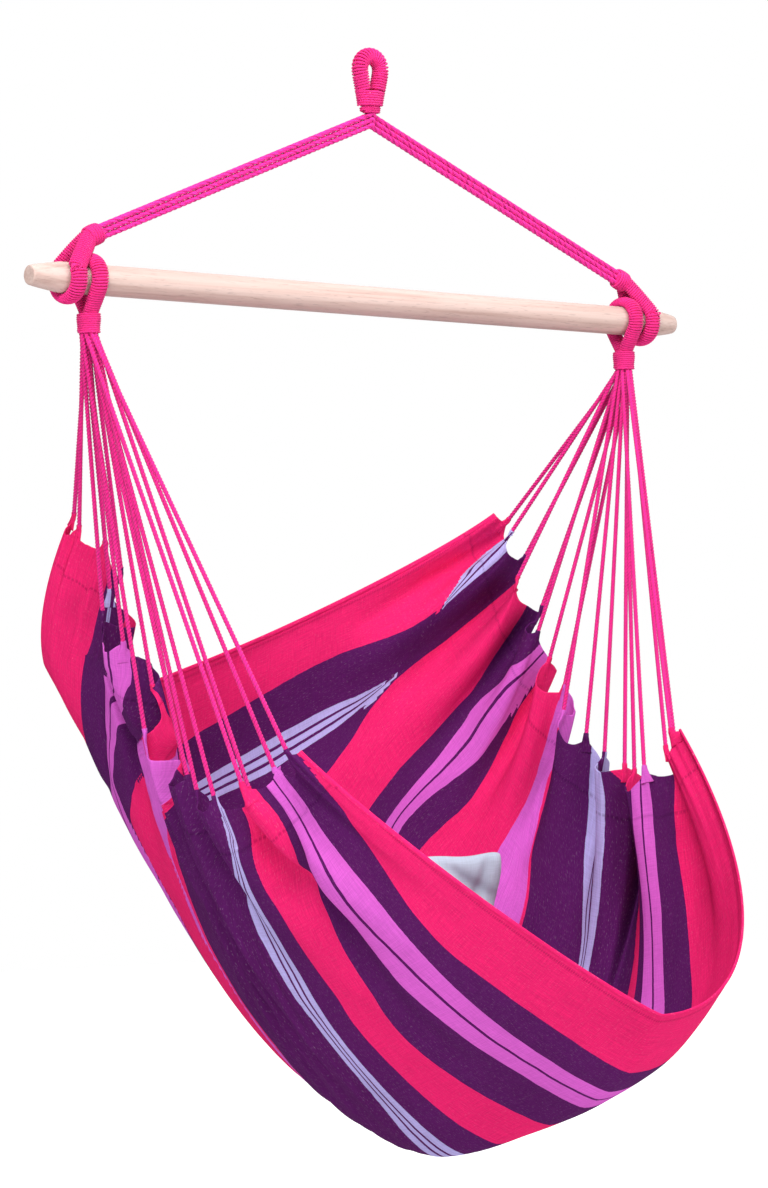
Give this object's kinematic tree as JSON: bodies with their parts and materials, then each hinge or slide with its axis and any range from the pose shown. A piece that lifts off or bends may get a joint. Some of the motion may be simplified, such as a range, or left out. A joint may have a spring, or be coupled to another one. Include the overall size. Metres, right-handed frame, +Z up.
{
  "type": "hammock chair",
  "caption": "Hanging hammock chair: a wound hanging eye and leg cords carry a wooden spreader bar, and fans of cords hold a gathered striped cloth seat with a loose pillow",
  "frame": {"origin": "Where a hook bears: the top of the opening in the hanging eye, in the middle of its thickness", "axes": "+Z up, +X along the spreader bar to the sitter's left seen from the front (right in a front view), -Y the way the sitter faces"},
  "size_m": [1.1, 0.8819, 1.4863],
  "materials": {
    "cord": "matt twisted cotton",
    "bar": "smooth, lightly sealed",
    "seat_cloth": "matt plain weave",
    "pillow_cloth": "matt plain weave"
  },
  "bodies": {
    "eye": {"hanging_eye_bundle": "cord", "eye_winding": "cord", "eye_neck_winding": "cord"},
    "throat": {"throat_bundle": "cord", "throat_winding": "cord"},
    "fork": {"leg_cord_fork": "cord"},
    "legs": {"left_leg_cord_1": "cord", "left_leg_cord_2": "cord", "left_leg_cord_3": "cord", "left_leg_loop": "cord", "left_collar_winding": "cord", "right_leg_cord_1": "cord", "right_leg_cord_2": "cord", "right_leg_cord_3": "cord", "right_leg_loop": "cord", "right_collar_winding": "cord"},
    "bar": {"spreader_bar": "bar"},
    "seat": {"left_seat_loop": "cord", "left_seat_winding": "cord", "right_seat_loop": "cord", "right_seat_winding": "cord", "left_seat_cord_1": "cord", "left_seat_cord_2": "cord", "left_seat_cord_3": "cord", "left_seat_cord_4": "cord", "left_seat_cord_5": "cord", "left_seat_cord_6": "cord", "left_seat_cord_7": "cord", "left_seat_cord_8": "cord", "left_seat_cord_9": "cord", "left_seat_cord_10": "cord", "left_seat_cord_11": "cord", "left_seat_cord_12": "cord", "left_seat_cord_13": "cord", "left_seat_cord_14": "cord", "left_seat_cord_15": "cord", "left_seat_cord_16": "cord", "left_seat_cord_17": "cord", "right_seat_cord_1": "cord", "right_seat_cord_2": "cord", "right_seat_cord_3": "cord", "right_seat_cord_4": "cord", "right_seat_cord_5": "cord", "right_seat_cord_6": "cord", "right_seat_cord_7": "cord", "right_seat_cord_8": "cord", "right_seat_cord_9": "cord", "right_seat_cord_10": "cord", "right_seat_cord_11": "cord", "right_seat_cord_12": "cord", "right_seat_cord_13": "cord", "right_seat_cord_14": "cord", "right_seat_cord_15": "cord", "right_seat_cord_16": "cord", "right_seat_cord_17": "cord", "seat_cloth": "seat_cloth", "seat_pillow": "pillow_cloth"}
  },
  "joints": [
    {"name": "swivel", "type": "hinge", "parent": "eye", "child": "throat", "pos_m": [0, 0, -0.0573], "axis": [0, 0, 1], "range_deg": [-180, 180]},
    {"name": "swing_fore_aft", "type": "hinge", "parent": "throat", "child": "fork", "pos_m": [0, 0, -0.0752], "axis": [1, 0, 0], "range_deg": [-25, 25]},
    {"name": "sway_sideways", "type": "hinge", "parent": "fork", "child": "legs", "pos_m": [0, 0, -0.0752], "axis": [0, 1, 0], "range_deg": [-12, 12]},
    {"name": "bar_roll", "type": "hinge", "parent": "legs", "child": "bar", "pos_m": [0, 0, -0.321], "axis": [1, 0, 0], "continuous": true},
    {"name": "seat_tilt", "type": "hinge", "parent": "legs", "child": "seat", "pos_m": [0, 0, -0.321], "axis": [1, 0, 0], "range_deg": [-30, 30]}
  ]
}
